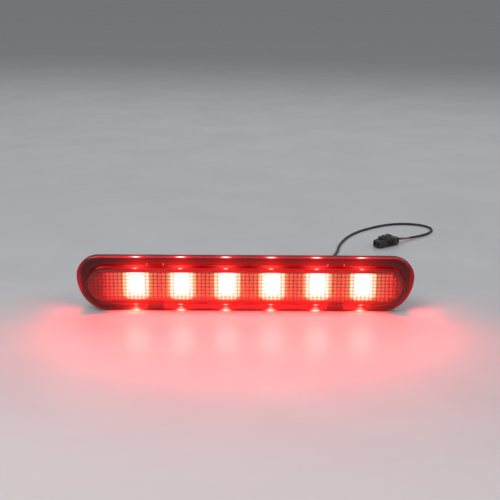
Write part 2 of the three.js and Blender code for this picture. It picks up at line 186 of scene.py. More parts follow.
def calc(operation, *values):
    """A sum on numbers and at least one output."""
    host = next(value for value in values if isinstance(value, bpy.types.NodeSocket))
    return node(host, "Math", dict(enumerate(values)), operation=operation).outputs[0]


def times(first, *others):
    """All the values multiplied together."""
    total = first
    for value in others:
        total = calc("MULTIPLY", total, value)
    return total


def gap(a, b):
    """How far a is from b."""
    return calc("ABSOLUTE", calc("SUBTRACT", a, b))


def choose(test, yes, no):
    """yes where test is 1, and no where it is 0."""
    kept = times(no, calc("SUBTRACT", 1.0, test))
    return calc("MULTIPLY_ADD", yes, test, kept)


def smooth_between(value, low, high, start=0.0, end=1.0):
    """start where value is low, end where it is high, eased between."""
    inputs = {"Value": value, "From Min": low, "From Max": high, "To Min": start, "To Max": end}
    return node(value, "MapRange", inputs, interpolation_type="SMOOTHSTEP").outputs["Result"]


def ramp(value, stops):
    """A colour ramp through (place, (red, green, blue)) stops."""
    made = node(value, "ValToRGB", {"Fac": value})
    band = made.color_ramp
    while len(band.elements) < len(stops):
        band.elements.new(0.5)
    for element, (place, colour) in zip(band.elements, stops):
        element.position = place
        element.color = (*colour, 1)
    return made.outputs["Color"]


def new_look(name, sockets):
    """The shader of a new material, which LOOKS keeps under its name."""
    material = bpy.data.materials.new(name)
    material.use_nodes = True
    LOOKS[name] = material
    shader = material.node_tree.nodes["Principled BSDF"]
    for socket, value in sockets.items():
        feed(value, shader.inputs[socket])
    return shader


def object_place(shader):
    return node(shader, "TexCoord").outputs["Object"]


def along(shader, axis):
    """How far along one of the object's own axes, in millimetres."""
    split = node(shader, "SeparateXYZ", {"Vector": object_place(shader)})
    return times(split.outputs[axis], 1 / MM)


def noise(shader, per_mm, detail=3.0, roughness=0.55, stretch=(1, 1, 1)):
    """Noise from 0 to 1, with about per_mm lumps in a millimetre."""
    scaled = node(shader, "Mapping", {"Vector": object_place(shader), "Scale": stretch}).outputs[0]
    inputs = {"Vector": scaled, "Scale": per_mm / MM, "Detail": detail, "Roughness": roughness}
    return node(shader, "TexNoise", inputs).outputs["Fac"]


def bump(shader, height, depth_mm):
    made = node(height, "Bump", {"Height": height, "Distance": depth_mm * MM})
    feed(made.outputs["Normal"], shader.inputs["Normal"])


def tint(shader, value, stops, socket="Base Color"):
    """A colour that follows (place, (red, green, blue)) stops."""
    feed(ramp(value, stops), shader.inputs[socket])


def mottle(shader, cloud, dark, light, socket="Base Color"):
    """A colour that goes from dark to light over a cloud's middle values."""
    tint(shader, cloud, [(0.3, dark), (0.7, light)], socket)


def vary_roughness(shader, cloud, low, high):
    feed(smooth_between(cloud, 0.3, 0.7, low, high), shader.inputs["Roughness"])


def glow(shader, level, stops, strength):
    """Light given off, with the stops' colour at each level."""
    tint(shader, level, stops, "Emission Color")
    feed(strength, shader.inputs["Emission Strength"])


def grained(name, dark, light, rough, grain_per_mm, grain_depth, lumps_per_mm=0.12, metallic=0.0):
    """A mottled surface: colour from dark to light, roughness over a range, and a fine grain."""
    shader = new_look(name, {"Metallic": metallic})
    lumps = noise(shader, lumps_per_mm, 4, 0.6)
    grain = noise(shader, grain_per_mm, 2, 0.5)
    both = calc("MULTIPLY_ADD", grain, 0.35, times(lumps, 0.65))
    mottle(shader, both, dark, light)
    vary_roughness(shader, both, *rough)
    bump(shader, grain, grain_depth)
    return shader


# -------- light along the row of LEDs


def from_nearest_led(x):
    """How far x is from the middle of the nearest light, in millimetres."""
    out = gap(x, LED_MIDDLE)
    between = gap(calc("MODULO", out, LED_PITCH), LED_PITCH / 2)
    beyond = calc("SUBTRACT", out, OUTER_LED)
    past = calc("GREATER_THAN", out, OUTER_LED + LED_PITCH / 2)
    return choose(past, beyond, between)


def along_row(x, spread, between, fade):
    """Light along the row: 1 in front of each LED, less between two, and fading past the last."""
    away = from_nearest_led(x)
    spreads = calc("POWER", calc("DIVIDE", away, spread), 2.0)
    near = calc("EXPONENT", times(spreads, -1.0))
    inside = calc("MULTIPLY_ADD", near, 1 - between, between)
    past = calc("EXPONENT", calc("DIVIDE", away, -fade))
    outside = calc("GREATER_THAN", gap(x, LED_MIDDLE), OUTER_LED)
    return choose(outside, past, inside)


def from_lug(x):
    """How far x is from the middle of the nearest snap lug, in millimetres."""
    return gap(calc("ABSOLUTE", x), LUG_X)


def lug_shade(x):
    """1 in front of a snap lug, 0 beside it."""
    half = LUG_WIDTH / 2
    return smooth_between(from_lug(x), half - 0.5, half + 1, 1.0, 0.0)


def border_glow(shader, strength):
    """Red light that reaches what is behind the clear border; the lower snap lugs shade it."""
    x, z = along(shader, "X"), along(shader, "Z")
    edge = PANEL_HEIGHT / 2
    near = smooth_between(gap(z, PANEL_Z), edge - 1, edge + 8, 1.0, 0.45)
    row = along_row(x, 10, 0.4, 11)
    shade = times(lug_shade(x), calc("LESS_THAN", z, MID_Z))
    lit = calc("MULTIPLY_ADD", shade, -0.4, 1.0)
    stops = [(0, DARK), (0.5, (0.5, 0, 0)), (1, (1, 0.05, 0.04))]
    glow(shader, times(row, near, lit), stops, strength)


# -------- looks of the lens

PLASTIC_IOR = 1.49
EDGE_STRENGTH = 1.5  # of the light that comes out of the lens's edges

EDGE_STOPS = [
    (0, DARK),
    (0.25, (0.3, 0.01, 0.02)),
    (0.5, (0.6, 0.14, 0.14)),
    (0.75, (1, 0.6, 0.45)),
    (1, (1, 1, 0.9)),
]

FOOT_STOPS = [
    (0, DARK),
    (0.35, (0.56, 0.008, 0.008)),
    (0.55, (0.62, 0.17, 0.1)),
    (0.75, (0.64, 0.3, 0.18)),
    (1, (0.68, 0.52, 0.34)),
]


def clear_red(name, deep, light):
    """Clear red acrylic, with the faint unevenness of a moulding."""
    sockets = {"Transmission Weight": 1.0, "IOR": PLASTIC_IOR, "Specular IOR Level": 0.15}
    shader = new_look(name, sockets)
    flow = noise(shader, 0.03, 3, 0.5, (0.4, 1, 1))
    dust = noise(shader, 0.6, 5, 0.7)
    mottle(shader, flow, deep, light)
    feed(smooth_between(dust, 0.35, 0.75, 0.02, 0.06), shader.inputs["Roughness"])
    return shader


def make_edge_look(name, red, line, spot, spot_width):
    """Acrylic edge that pipes the light: a lit line, with a hot spot beside each LED."""
    shader = clear_red(name, (red, 0.002, 0.003), (1.15 * red, 0.004, 0.006))
    x = along(shader, "X")
    hot = along_row(x, spot_width, 0.0, spot_width)
    even = along_row(x, 12, 0.55, 30)
    level = calc("MULTIPLY_ADD", hot, spot, times(even, line))
    glow(shader, level, EDGE_STOPS, EDGE_STRENGTH)


def wedge(away, z, wide, tall, start, end, level):
    """Light that stands on the foot of the lens below an LED, and fades upwards and sideways."""
    slope = calc("ADD", calc("DIVIDE", away, wide), calc("DIVIDE", z, tall))
    return smooth_between(slope, start, end, level, 0.0)


def make_band_look():
    """The band of border beside the rim. Below the panel it shows red light between the lugs, and a
    small bright triangle under each LED."""
    shader = clear_red("lens_band", (0.36, 0.002, 0.003), (0.42, 0.004, 0.006))
    x, z = along(shader, "X"), along(shader, "Z")
    above_foot = smooth_between(z, 1.0, 2.0)
    below_panel = smooth_between(z, 6.0, 7.0, 1.0, 0.0)
    between_lugs = calc("MULTIPLY_ADD", lug_shade(x), -0.68, 1.0)
    row = along_row(x, 10, 0.8, 8)
    strip = times(above_foot, below_panel, between_lugs, row, 0.35)
    away = from_nearest_led(x)
    triangle = wedge(away, z, 9.0, 2.4, 0.3, 1.0, 0.95)
    column = wedge(away, z, 8.0, 7.5, 0.2, 1.4, 0.62)
    column = times(column, smooth_between(z, 4.4, 6.2, 1.0, 0.0))
    foot = calc("MAXIMUM", strip, calc("MAXIMUM", triangle, column))
    glow(shader, foot, FOOT_STOPS, EDGE_STRENGTH)


def make_border_look():
    """The clear border, with the thin lines of light that the edges of the upper lugs catch."""
    shader = clear_red("lens_border", (0.42, 0, 0.002), (0.52, 0.001, 0.004))
    x, y, z = (along(shader, axis) for axis in "XYZ")
    lug_foot = LENS_HEIGHT - LUG_Z - LUG_TALL / 2
    lug_top = lug_foot + LUG_TALL
    splay = -0.28
    half = calc("MULTIPLY_ADD", calc("SUBTRACT", z, lug_foot), splay, LUG_NEAR)
    thin = smooth_between(gap(from_lug(x), half), 0.15, 0.6, 1.0, 0.0)
    below_top = smooth_between(z, lug_top - 0.6, lug_top + 0.4, 1.0, 0.0)
    above_foot = calc("GREATER_THAN", z, lug_foot)
    on_front = calc("LESS_THAN", y, BORDER_FRONT + 0.2)
    line = times(thin, below_top, above_foot, on_front)
    glow(shader, line, [(0, DARK), (1, (0.9, 0.16, 0.16))], 1.0)


def make_panel_side_look():
    """Side of the raised panel, which glows beside each light."""
    shader = clear_red("lens_panel_side", (0.55, 0.004, 0.006), (0.65, 0.006, 0.008))
    level = along_row(along(shader, "X"), 9, 0.3, 12)
    glow(shader, level, [(0, DARK), (0.3, (0.2, 0, 0)), (1, (0.75, 0.06, 0.045))], 1.0)


# -------- looks of the optics

DOT_GAP = 0.34  # how bright the gap between two optics is, beside an optic's middle
CORE_RIGHT = 1.2  # middle of an LED's glow on the optics, from the LED
CORE_UP = 3.0
CORE_FLATTEN = 0.68
WASH_REACH = 50

# Level by the distance from the nearest LED, as a share of WASH_REACH
WASH_STOPS = [
    (0, 0.6), (0.24, 0.6), (0.32, 0.54), (0.4, 0.46), (0.45, 0.42),
    (0.52, 0.34), (0.58, 0.22), (0.64, 0.14), (0.72, 0.11), (0.84, 0.08),
]

OPTIC_STOPS = [
    (0, (0.004, 0, 0)),
    (0.1, (0.04, 0, 0)),
    (0.2, (0.12, 0.001, 0.002)),
    (0.35, (0.25, 0.03, 0.022)),
    (0.46, (0.25, 0.065, 0.045)),
    (0.6, (0.26, 0.16, 0.08)),
    (0.8, (0.45, 0.75, 0.38)),
    (1, (1, 1, 0.95)),
]


def from_cell_middle(value, size):
    """How far value is from the middle of its cell, as a share of the cell's size."""
    return calc("SUBTRACT", calc("FRACT", calc("DIVIDE", value, size)), 0.5)


def reach(across, up, power):
    """How far out (across, up) is: in circles for power 2, in rounded squares for power 4."""
    total = calc("ADD", calc("POWER", across, power), calc("POWER", up, power))
    return calc("POWER", total, 1 / power)


def wash_of_light(away, high):
    """Light spread over the optics between the LEDs, weaker in the lowest row."""
    shares = [(place, (level, level, level)) for place, level in WASH_STOPS]
    wash = ramp(calc("DIVIDE", away, WASH_REACH), shares)
    lowest_row = -OPTIC_ROWS / 2 * OPTIC_TALL
    return times(wash, smooth_between(high, lowest_row + 1, lowest_row + 4, 0.62, 1.0))


def make_optics_look():
    """Pillow optics lit from behind: each shows a dot, and they run together in front of an LED."""
    shader = new_look("lit_optics", {"Roughness": 0.15, "IOR": PLASTIC_IOR})
    x = along(shader, "X")
    high = calc("SUBTRACT", along(shader, "Z"), GRID_Z)
    across = from_cell_middle(x, OPTIC_WIDE)
    up = from_cell_middle(high, OPTIC_TALL)
    dot = smooth_between(reach(across, up, 2.0), 0.18, 0.56, 1.0, DOT_GAP)
    away = from_nearest_led(calc("SUBTRACT", x, CORE_RIGHT))
    from_core = reach(away, times(calc("SUBTRACT", high, CORE_UP), CORE_FLATTEN), 4.0)
    core = smooth_between(from_core, 6.5, 13.5, 0.6, 0.0)
    colour = ramp(calc("ADD", wash_of_light(away, high), core), OPTIC_STOPS)
    seen = calc("MAXIMUM", dot, smooth_between(from_core, 5.0, 10.5, 1.0, 0.0))
    dimmed = node(shader, "VectorMath", {0: colour, "Scale": seen}, operation="SCALE")
    feed(dimmed.outputs[0], shader.inputs["Emission Color"])
    feed(3.6, shader.inputs["Emission Strength"])
    # painted light and shade in the colour too: lighter at each optic's middle, where its dot of light
    # is, and darker in the gaps
    tint(shader, dot, [(DOT_GAP, (0.05, 0, 0)), (1, (0.18, 0.003, 0.003))])


def make_margin_look():
    """Plain diffusing margin round the grid of optics, lit from behind."""
    shader = new_look("lit_margin", {"Roughness": 0.3})
    level = along_row(along(shader, "X"), 12, 0.62, 16)
    stops = [(0, (0.01, 0, 0)), (0.6, (0.3, 0, 0)), (1, (0.52, 0.016, 0.01))]
    glow(shader, level, stops, 1.0)
    mottle(shader, noise(shader, 0.3), (0.1, 0, 0), (0.15, 0, 0))


def make_led_look():
    shader = new_look("led_lit", {"Roughness": 0.25})
    speck = noise(shader, 1.5)
    mottle(shader, speck, (1, 0.8, 0.5), (1, 0.95, 0.8))
    mottle(shader, speck, (1, 0.5, 0.35), (1, 0.8, 0.6), "Emission Color")
    feed(1.5, shader.inputs["Emission Strength"])


# -------- looks of the other pieces

WEAVE = 14.0  # how far the breather's weave turns in a millimetre, in radians
BLACK_PLASTIC = ((0.012, 0.012, 0.013), (0.03, 0.03, 0.032), (0.42, 0.62), 3.0, 0.012)


def make_flange_look():
    """Front of the housing's flange and its lugs: black plastic lit red through the clear border."""
    border_glow(grained("flange_front", *BLACK_PLASTIC), 1.8)


def make_seal_look():
    """Silicone bead that takes up the red light."""
    shader = new_look("silicone_bead", {"Roughness": 0.35})
    mottle(shader, noise(shader, 0.4), (0.3, 0.01, 0.01), (0.4, 0.02, 0.02))
    border_glow(shader, 1.5)


def make_board_look():
    """Green solder mask over copper tracks."""
    shader = new_look("board_mask", {"Roughness": 0.35})
    tracks = node(shader, "TexBrick", {
        "Vector": object_place(shader),
        "Scale": 90.0,
        "Color1": (0.02, 0.12, 0.045, 1),
        "Color2": (0.025, 0.17, 0.06, 1),
        "Mortar": (0.05, 0.26, 0.1, 1),
    })
    feed(tracks.outputs["Color"], shader.inputs["Base Color"])


def make_foam_look():
    """Closed-cell foam: small pits over soft lumps, with painted shade in the middle of each pit."""
    shader = new_look("gasket_foam", {"Roughness": 0.95})
    inputs = {"Vector": object_place(shader), "Scale": 1.6 / MM}
    cells = node(shader, "TexVoronoi", inputs).outputs["Distance"]
    # painted shade: the colour darkens towards each cell's middle, where the bump sinks into a pit
    tint(shader, cells, [(0, (0.012, 0.012, 0.013)), (0.6, (0.055, 0.055, 0.058))])
    bump(shader, cells, 0.12)


def make_breather_look():
    """White membrane with a fine woven face, painted darker where the weave sinks, as shade."""
    shader = new_look("breather", {"Roughness": 0.8})
    weft, warp = (calc("SINE", times(along(shader, axis), WEAVE)) for axis in "XZ")
    weave = calc("MULTIPLY_ADD", times(weft, warp), 0.5, 0.5)
    # painted shade: grey where the weave is low, white where it stands high
    tint(shader, weave, [(0, (0.5, 0.5, 0.48)), (1, (0.78, 0.78, 0.75))])
    bump(shader, weave, 0.03)


# Dark and light colour, range of roughness, grain per mm and its depth, lumps per mm, and how metallic
GRAINED_LOOKS = {
    "metallised": ((0.75, 0.75, 0.78), (0.9, 0.9, 0.92), (0.05, 0.12), 1.0, 0.002, 0.12, 1.0),
    "zinc_steel": ((0.42, 0.43, 0.44), (0.66, 0.65, 0.62), (0.26, 0.42), 6.0, 0.006, 0.5, 1.0),
    "terminal_brass": ((0.62, 0.46, 0.2), (0.8, 0.64, 0.34), (0.25, 0.4), 5.0, 0.004, 0.5, 1.0),
    "housing_plastic": BLACK_PLASTIC,
    "black_rubber": ((0.012, 0.012, 0.013), (0.035, 0.034, 0.034), (0.55, 0.78), 4.0, 0.01),
    "cable_sheath": ((0.01, 0.009, 0.009), (0.028, 0.026, 0.026), (0.35, 0.5), 5.0, 0.006),
    "core_red": ((0.32, 0.008, 0.008), (0.5, 0.02, 0.018), (0.32, 0.48), 5.0, 0.005),
    "core_black": ((0.01, 0.01, 0.01), (0.03, 0.03, 0.03), (0.32, 0.48), 5.0, 0.005),
    "connector_nylon": ((0.028, 0.022, 0.019), (0.055, 0.045, 0.038), (0.4, 0.58), 4.0, 0.01),
    "chip_package": ((0.02, 0.02, 0.021), (0.04, 0.04, 0.042), (0.45, 0.6), 6.0, 0.004),
}

for name, numbers in GRAINED_LOOKS.items():
    grained(name, *numbers)
clear_red("lens_panel", (1, 0.34, 0.3), (1, 0.38, 0.33))
make_edge_look("lens_rim", 0.2, 0.12, 0.9, 4.5)
make_edge_look("lens_rim_back", 0.6, 0.16, 0.3, 8)
make_edge_look("lens_panel_edge", 0.6, 0.12, 0.62, 2.4)
make_border_look()
make_band_look()
make_panel_side_look()
make_margin_look()
make_optics_look()
make_led_look()
make_flange_look()
make_seal_look()
make_foam_look()
make_breather_look()
make_board_look()


def paint(look, *names):
    for name in names:
        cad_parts[name].material_slots[0].material = LOOKS[look]


# -------- outlines

CORNER_STEPS = 20


def corner(centre_x, centre_z, wide, tall, first_quarter, last=True):
    """Points (x, z) round a quarter of an ellipse, from first_quarter quarter turns on."""
    points = []
    for step in range(CORNER_STEPS + (1 if last else 0)):
        angle = (first_quarter + step / CORNER_STEPS) * math.pi / 2
        points.append((centre_x + wide * math.cos(angle), centre_z + tall * math.sin(angle)))
    return points


def lens_outline(inset):
    """The lens's outline drawn in by inset: each end is two quarter ellipses."""
    low = ((LENS_LENGTH - LOW_STRAIGHT) / 2 - inset, WIDEST_Z - inset)
    top = ((LENS_LENGTH - TOP_STRAIGHT) / 2 - inset, LENS_HEIGHT - WIDEST_Z - inset)
    return (
        corner(LOW_STRAIGHT / 2, WIDEST_Z, *low, -1, last=False)
        + corner(TOP_STRAIGHT / 2, WIDEST_Z, *top, 0)
        + corner(-TOP_STRAIGHT / 2, WIDEST_Z, *top, 1, last=False)
        + corner(-LOW_STRAIGHT / 2, WIDEST_Z, *low, 2)
    )


def rounded_outline(length, height, radius, middle_z, inset=0.0):
    """A rounded rectangle drawn in by inset."""
    right = length / 2 - radius
    low, top = middle_z - height / 2 + radius, middle_z + height / 2 - radius
    drawn = radius - inset
    return (
        corner(right, low, drawn, drawn, -1, last=False)
        + corner(right, top, drawn, drawn, 0)
        + corner(-right, top, drawn, drawn, 1, last=False)
        + corner(-right, low, drawn, drawn, 2)
    )


def panel_outline(inset):
    return rounded_outline(PANEL_LENGTH, PANEL_HEIGHT, PANEL_RADIUS, PANEL_Z, inset)


def box_outline(inset):
    return rounded_outline(BOX_LENGTH, BOX_HEIGHT, BOX_RADIUS, MID_Z, inset)


def at_depth(outline, y):
    return [(x, y, z) for x, z in outline]


def ring_about(x, y, segments, radius_at):
    """A ring about an axis along Y at mid height; radius_at takes the share of a turn."""
    ring = []
    for number in range(segments):
        angle = 2 * math.pi * number / segments
        radius = radius_at(number / segments)
        ring.append((x + radius * math.cos(angle), y, MID_Z + radius * math.sin(angle)))
    return ring


def round_ring(x, y, radius, segments):
    return ring_about(x, y, segments, lambda share: radius)


def round_over(radius, steps=5):
    """(inset, depth) pairs of a quarter round, from the side of a block to its face."""
    pairs = []
    for step in range(steps + 1):
        angle = step / steps * math.pi / 2
        pairs.append((radius * (1 - math.cos(angle)), radius * (1 - math.sin(angle))))
    return pairs


# -------- mesh helpers


def add_rings(bm, rings, kinds=None, closed=False):
    """Skins a row of rings with the same number of points. kinds gives a material number for the
    first cap, each band and the last cap; a closed row joins its last ring to its first."""
    kinds = kinds or [0] * (len(rings) + 1)
    rows = [[bm.verts.new(Vector(point) * MM) for point in ring] for ring in rings]
    pairs = list(zip(rows, rows[1:]))
    if closed:
        pairs.append((rows[-1], rows[0]))
    else:
        for row, kind in ((rows[0], kinds[0]), (rows[-1], kinds[-1])):
            cap = bm.faces.new(row)
            cap.material_index = kind
            cap.smooth = False
    count = len(rings[0])
    for band, (here, there) in enumerate(pairs):
        for i in range(count):
            j = (i + 1) % count
            face = bm.faces.new((here[i], here[j], there[j], there[i]))
            face.material_index = kinds[band + 1]
            face.smooth = True


def add_turned(bm, x, points, segments, closed=False):
    """A turned shape about an axis along Y at mid height, through (radius, y) points."""
    add_rings(bm, [round_ring(x, y, radius, segments) for radius, y in points], closed=closed)


def add_block(bm, low, high, soften, matrix=None):
    """A block between two corners, with rounded edges."""
    made = bmesh.ops.create_cube(bm, size=1)
    verts = made["verts"]
    low, high = Vector(low), Vector(high)
    middle, size = (low + high) / 2, high - low
    for vert in verts:
        vert.co = Vector(a * b for a, b in zip(vert.co, size)) + middle
    edges = list({edge for vert in verts for edge in vert.link_edges})
    result = bmesh.ops.bevel(bm, geom=edges, offset=soften, segments=3, profile=0.5, affect="EDGES")
    seen = {vert for face in result["faces"] for vert in face.verts}
    for face in {face for vert in seen for face in vert.link_faces}:
        face.smooth = True
    for vert in seen:
        vert.co = (matrix @ vert.co if matrix else vert.co) * MM


def mesh_object(name, bm):
    """An object of what is in bm, with its faces turned outwards."""
    bmesh.ops.recalc_face_normals(bm, faces=bm.faces)
    mesh = bpy.data.meshes.new(name)
    bm.to_mesh(mesh)
    bm.free()
    return add_object(name, mesh)


def settle(piece, body, nodes):
    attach(piece, body)
    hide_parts(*nodes)
    return piece


def make_piece(name, bm, looks, body, nodes, sharp=35):
    piece = mesh_object(name, bm)
    piece.data.set_sharp_from_angle(angle=math.radians(sharp))
    for look in looks:
        piece.data.materials.append(LOOKS[look])
    return settle(piece, body, nodes)


# -------- cable and cores

LYING = 0.0013  # height of the cable's middle line where it lies on the surface

# The cable's middle line, in metres: out of the grommet, down to the surface and round in a loop
CABLE_ROUTE = [
    (0.0600, 0.01725, 0.0250),
    (0.0600, 0.0260, 0.0249),
    (0.0600, 0.0340, 0.0238),
    (0.0605, 0.0430, 0.0202),
    (0.0615, 0.0520, 0.0146),
    (0.0630, 0.0610, 0.0086),
    (0.0650, 0.0700, 0.0040),
    (0.0675, 0.0800, 0.0018),
    (0.0710, 0.0930, LYING),
    (0.0770, 0.1130, LYING),
    (0.0840, 0.1330, LYING),
    (0.0910, 0.1520, LYING),
    (0.0965, 0.1720, LYING),
    (0.0995, 0.1900, LYING),
    (0.1050, 0.2100, LYING),
    (0.1135, 0.2310, LYING),
    (0.1250, 0.2500, LYING),
    (0.1380, 0.2645, LYING),
    (0.1520, 0.2765, LYING),
    (0.1660, 0.2845, LYING),
    (0.1810, 0.2875, LYING),
    (0.1950, 0.2850, LYING),
    (0.2060, 0.2770, LYING),
    (0.2105, 0.2645, LYING),
    (0.2060, 0.2495, LYING),
    (0.1950, 0.2355, LYING + 0.0004),
    (0.1800, 0.2225, LYING + 0.0011),
]


def make_line(name, route, radius, look):
    """A round line of one smooth curve through the route's points, with flat ends."""
    data = bpy.data.curves.new(name, "CURVE")
    data.dimensions = "3D"
    data.bevel_depth = radius * MM
    data.bevel_resolution = 4
    data.resolution_u = 8
    data.use_fill_caps = True
    points = data.splines.new("BEZIER").bezier_points
    points.add(len(route) - 1)
    for point, place in zip(points, route):
        point.co = place
        point.handle_left_type = "AUTO"
        point.handle_right_type = "AUTO"
    data.materials.append(LOOKS[look])
    return add_object(name, data)


cable = make_line("cable_line", CABLE_ROUTE, CABLE_RADIUS, "cable_sheath")
settle(cable, "lamp", ["cable"])

# The connector's own frame: +X is the way that it points, and its cores come in at x = 0
CONNECTOR_TURN = -140
CORE_REACH = 22.5
PIN_Z = 4.5
PIN_PITCH = 5.0
turn_to_connector = rotation(CONNECTOR_TURN, "Z", 4)
cable_end = Vector((CABLE_ROUTE[-1][0], CABLE_ROUTE[-1][1], 0)) / MM
wire_end = cable_end + turn_to_connector @ Vector((CORE_REACH + 0.3, 0, 0))
CONNECTOR = Matrix.Translation(wire_end) @ turn_to_connector


def make_core(name, side, look, node_name):
    pin_y = side * PIN_PITCH / 2
    lying = LYING / MM
    local = [
        (-CORE_REACH, side * 0.9, lying + 1.1),
        (-19, side * 0.95, lying + 1.3),
        (-14, side * 1.5, 3.2),
        (-9, side * 2.1, 3.9),
        (-4, pin_y, PIN_Z - 0.1),
        (-0.3, pin_y, PIN_Z),
    ]
    route = [(CONNECTOR @ Vector(point)) * MM for point in local]
    return settle(make_line(name, route, CORE_RADIUS, look), "lamp", [node_name])


red_core = make_core("core_line_red", 1, "core_red", "wire_red")
black_core = make_core("core_line_black", -1, "core_black", "wire_black")

# -------- lens and optics

LENS_LOOKS = ["border", "panel", "band", "rim", "rim_back", "panel_edge", "panel_side"]
BORDER, PANEL, BAND, RIM, RIM_BACK, PANEL_EDGE, PANEL_SIDE = range(7)


def make_lens():
    """Shell open at the back: skirt, rounded rim, smooth border, and the raised optic panel."""
    panel_round = 1.0
    fillet = 0.8
    inside = BORDER_FRONT + LENS_WALL
    rings = [
        (at_depth(panel_outline(LENS_WALL), PANEL_FRONT + LENS_WALL), PANEL),
        (at_depth(panel_outline(LENS_WALL), inside), PANEL),
        (at_depth(lens_outline(LENS_WALL), inside), BORDER),
        (at_depth(lens_outline(LENS_WALL), SKIRT_BACK), BORDER),
        (at_depth(lens_outline(0), SKIRT_BACK), RIM_BACK),
    ]
    rim_looks = [BORDER, BORDER, RIM, RIM, RIM, BAND, BAND]
    for look, (inset, depth) in zip(rim_looks, round_over(RIM_ROUND, 6)):
        rings.append((at_depth(lens_outline(inset), BORDER_FRONT + depth), look))
    rings.append((at_depth(lens_outline(RIM_ROUND + BAND_WIDTH), BORDER_FRONT), BAND))
    rings.append((at_depth(panel_outline(-fillet), BORDER_FRONT), BORDER))
    for inset, depth in reversed(round_over(fillet, 4)[:-1]):
        y = BORDER_FRONT - fillet + depth
        rings.append((at_depth(panel_outline(inset - fillet), y), PANEL_SIDE))
    panel_looks = [PANEL_SIDE, PANEL_SIDE, PANEL_SIDE, PANEL_EDGE, PANEL_EDGE, PANEL_EDGE]
    for look, (inset, depth) in zip(panel_looks, round_over(panel_round)):
        rings.append((at_depth(panel_outline(inset), PANEL_FRONT + depth), look))
    bm = bmesh.new()
    kinds = [kind for ring, kind in rings]
    add_rings(bm, [ring for ring, kind in rings], kinds + [PANEL])
    looks = [f"lens_{look}" for look in LENS_LOOKS]
    make_piece("lens_shell", bm, looks, "lamp", ["lens"])


def inside_panel(x, z, inset):
    """Whether (x, z) is inside the panel's outline drawn in by inset."""
    radius = PANEL_RADIUS - inset
    over_x = abs(x) - (PANEL_LENGTH / 2 - inset - radius)
    over_z = abs(z - PANEL_Z) - (PANEL_HEIGHT / 2 - inset - radius)
    if over_x <= 0 or over_z <= 0:
        return max(over_x, over_z) <= radius
    return math.hypot(over_x, over_z) <= radius


OPTIC_STEPS = 4
MARGIN = 1  # where the margin's look stands among the looks of the optics piece


def square(i, j):
    """The corners of a square of a grid, in order."""
    return [(i, j), (i + 1, j), (i + 1, j + 1), (i, j + 1)]


def optic_place(i, j):
    """The x and z of a point of the grid, which has OPTIC_STEPS steps across each optic."""
    return i / OPTIC_STEPS * OPTIC_WIDE, GRID_Z + j / OPTIC_STEPS * OPTIC_TALL


def optic_rise(step):
    """How high an optic's crown is on the way across it: 0 at its edges, 1 in its middle."""
    return 1 - (step % OPTIC_STEPS / OPTIC_STEPS * 2 - 1) ** 2


def optic_squares():
    """The squares of the grid that make up the optics, where a whole optic is inside the panel."""
    for column in range(-OPTIC_COLUMNS // 2, OPTIC_COLUMNS // 2):
        for row in range(-OPTIC_ROWS // 2, OPTIC_ROWS // 2):
            corners = [optic_place(i * OPTIC_STEPS, j * OPTIC_STEPS) for i, j in square(column, row)]
            if not all(inside_panel(x, z, GRID_INSET) for x, z in corners):
                continue
            for a in range(OPTIC_STEPS):
                for b in range(OPTIC_STEPS):
                    yield column * OPTIC_STEPS + a, row * OPTIC_STEPS + b


def make_optics():
    """The grid of small crowned optics behind the panel's face, clipped to the panel's round ends,
    on a plain plate that shows as the margin round it."""
    front = PANEL_FRONT + LENS_WALL + OPTIC_CROWN + 0.1
    back = front + 0.8
    bm = bmesh.new()
    fronts, backs = {}, {}
    for i, j in optic_squares():
        for at in square(i, j):
            if at not in fronts:
                x, z = optic_place(*at)
                crown = OPTIC_CROWN * optic_rise(at[0]) * optic_rise(at[1])
                fronts[at] = bm.verts.new(Vector((x, front - crown, z)) * MM)
                backs[at] = bm.verts.new(Vector((x, back, z)) * MM)
        bm.faces.new([fronts[at] for at in square(i, j)])
        bm.faces.new([backs[at] for at in reversed(square(i, j))])
    behind = {vert: backs[at] for at, vert in fronts.items()}
    for edge in [edge for edge in bm.edges if edge.is_boundary and edge.verts[0] in behind]:
        a, b = edge.verts
        bm.faces.new([a, b, behind[b], behind[a]])
    for face in bm.faces:
        face.smooth = True
    plate = panel_outline(LENS_WALL + 0.2)
    add_rings(bm, [at_depth(plate, back + 0.05), at_depth(plate, back + 0.6)], [MARGIN] * 3)
    make_piece("lens_optics", bm, ["lit_optics", "lit_margin"], "lamp", ["lens"], sharp=50)


make_lens()
make_optics()

# -------- housing, gasket and breather

PLAIN, FLANGE = range(2)
FLANGE_CHAMFER = 0.3
RIB_HALF = 0.6
RIB_UP = 11.5  # the two long ribs, from the housing's middle height
RIB_END = 118
SHORT_RIBS = [-RIB_END, -100, -60, -12, 12, 40, 100, RIB_END]


def add_shell(bm):
    """Box open at the front, with a flange round its mouth."""
    chamfer = FLANGE_CHAMFER
    rings = [
        at_depth(box_outline(BOX_WALL), BOX_BACK - BOX_WALL),
        at_depth(box_outline(BOX_WALL), FLANGE_FRONT),
        at_depth(lens_outline(FLANGE_INSET), FLANGE_FRONT),
        at_depth(lens_outline(FLANGE_INSET), FLANGE_BACK - chamfer),
        at_depth(lens_outline(FLANGE_INSET + chamfer), FLANGE_BACK),
        at_depth(box_outline(-chamfer), FLANGE_BACK),
        at_depth(box_outline(0), FLANGE_BACK + chamfer),
    ]
    for inset, depth in round_over(BOX_ROUND):
        rings.append(at_depth(box_outline(inset), BOX_BACK - depth))
    kinds = [PLAIN] * (len(rings) + 1)
    kinds[2] = FLANGE
    add_rings(bm, rings, kinds)


def add_boss(bm, x):
    """Low round boss that a stud comes out of."""
    foot, top = BOX_BACK - 1, BOX_HIGH.y
    points = [(10.6, foot), (11, BOX_BACK), (11, top - 0.4), (10.6, top), (2.6, top), (2.6, foot)]
    add_turned(bm, x, points, 64, closed=True)


